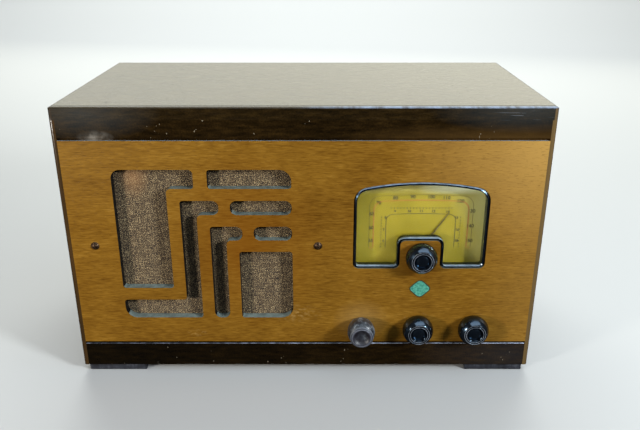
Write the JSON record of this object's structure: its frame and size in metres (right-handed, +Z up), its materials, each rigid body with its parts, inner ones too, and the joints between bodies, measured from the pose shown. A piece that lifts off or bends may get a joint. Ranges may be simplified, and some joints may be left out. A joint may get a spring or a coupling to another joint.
{
  "type": "tube radio",
  "caption": "Table-top tube radio: wooden cabinet with fretwork speaker grille, small dial with concentric tuning knob, and control knobs below.",
  "frame": {"origin": "bottom centre of the bounding box, on the surface that the feet stand on", "axes": "+Z up, front towards -Y, +X to the right seen from the front"},
  "size_m": [0.47, 0.2686, 0.2855],
  "materials": {
    "lacquered_wood": "dark gloss lacquer with fine scratches",
    "veneer": "light horizontal-grained veneer, lacquered",
    "raw_wood": "unfinished softwood and plywood",
    "foot_wood": "worn dark paint",
    "fibre_board": "pressed board",
    "baffle_ply": "dark stained plywood",
    "steel_plated": "dull cadmium plate",
    "steel_dark": "black enamel",
    "screw_dark": "dark bronzed",
    "rubber_black": "matte",
    "bakelite": "polished black moulding",
    "bakelite_brown": "brown moulding",
    "knob_grey": "chalky worn moulding",
    "fibre_brown": "phenolic paper",
    "glass_clear": "clear",
    "dial_paint": "yellowed paint with printed scales",
    "brass": "turned",
    "aluminium": "bare sheet",
    "ceramic": "unglazed",
    "cloth": "coarse open weave",
    "cone_paper": "moulded black paper",
    "spider_cloth": "varnished cloth",
    "copper": "enamelled copper wire",
    "nickel": "blackened nickel sheet"
  },
  "bodies": {
    "cabinet": {"side_panel_left": "lacquered_wood", "side_panel_right": "lacquered_wood", "top_panel": "lacquered_wood", "bottom_panel": "raw_wood", "front_panel": "veneer", "top_rail": "lacquered_wood", "bottom_rail": "lacquered_wood", "glue_blocks": "raw_wood", "feet": "foot_wood", "back_cover": "fibre_board", "back_screws": "steel_plated", "cord_grommet": "rubber_black", "terminal_strip": "bakelite_brown", "dial_escutcheon": "bakelite", "dial_glass": "glass_clear", "dial_plate": "dial_paint", "dial_bracket": "steel_plated", "dial_lamps": "brass", "drive_housing": "brass", "capacitor_frame": "steel_plated", "capacitor_stator": "aluminium", "stator_insulators": "ceramic", "volume_control": "fibre_brown", "tone_control": "fibre_brown", "band_switch": "fibre_brown", "control_nuts": "steel_plated", "baffle_board": "baffle_ply", "grille_cloth": "cloth", "baffle_screws": "screw_dark", "speaker_frame": "steel_plated", "speaker_magnet": "steel_dark", "cone_surround": "cone_paper", "spider": "spider_cloth", "output_transformer": "steel_dark", "chassis": "steel_plated", "chassis_bolts": "steel_plated", "power_transformer": "steel_dark", "shield_cans": "aluminium", "rf_tube": "glass_clear", "detector_tube": "glass_clear", "output_tube": "glass_clear", "rectifier_tube": "glass_clear", "tube_bases": "bakelite", "tube_sockets": "bakelite_brown", "tube_electrodes": "nickel"},
    "tuner": {"drive_hub": "brass", "drive_balls": "steel_plated", "dial_pointer": "steel_dark", "capacitor_rotor": "aluminium"},
    "tuning_knob": {"tuning_knob": "bakelite", "drive_spindle": "steel_plated"},
    "volume": {"volume_knob": "knob_grey", "volume_shaft": "steel_plated"},
    "tone": {"tone_knob": "bakelite", "tone_shaft": "steel_plated"},
    "band": {"band_knob": "bakelite", "band_shaft": "steel_plated"},
    "speaker_cone": {"speaker_cone": "cone_paper", "voice_coil": "copper"}
  },
  "joints": [
    {"name": "tuner_turn", "type": "hinge", "parent": "cabinet", "child": "tuner", "pos_m": [0.1155, -0.1117, 0.136], "axis": [0, 1, 0], "range_deg": [-123.5, 56.5]},
    {"name": "tuning_knob_turn", "type": "hinge", "parent": "cabinet", "child": "tuning_knob", "pos_m": [0.1155, -0.1117, 0.136], "axis": [0, 1, 0], "range_deg": [-741, 339]},
    {"name": "volume_turn", "type": "hinge", "parent": "cabinet", "child": "volume", "pos_m": [0.0575, -0.1117, 0.0545], "axis": [0, 1, 0], "range_deg": [-150, 150]},
    {"name": "tone_turn", "type": "hinge", "parent": "cabinet", "child": "tone", "pos_m": [0.116, -0.1117, 0.0545], "axis": [0, 1, 0], "range_deg": [-150, 150]},
    {"name": "band_turn", "type": "hinge", "parent": "cabinet", "child": "band", "pos_m": [0.173, -0.1117, 0.0545], "axis": [0, 1, 0], "range_deg": [-30, 30]},
    {"name": "cone_slide", "type": "slide", "parent": "cabinet", "child": "speaker_cone", "axis": [0, 1, 0], "range_m": [-0.001, 0.001], "stiffness_N_per_m": 1500, "deforming": ["cone_surround", "spider"]}
  ],
  "couplings": [
    {"joint": "tuning_knob_turn", "follows": "tuner_turn", "ratio": 6}
  ]
}
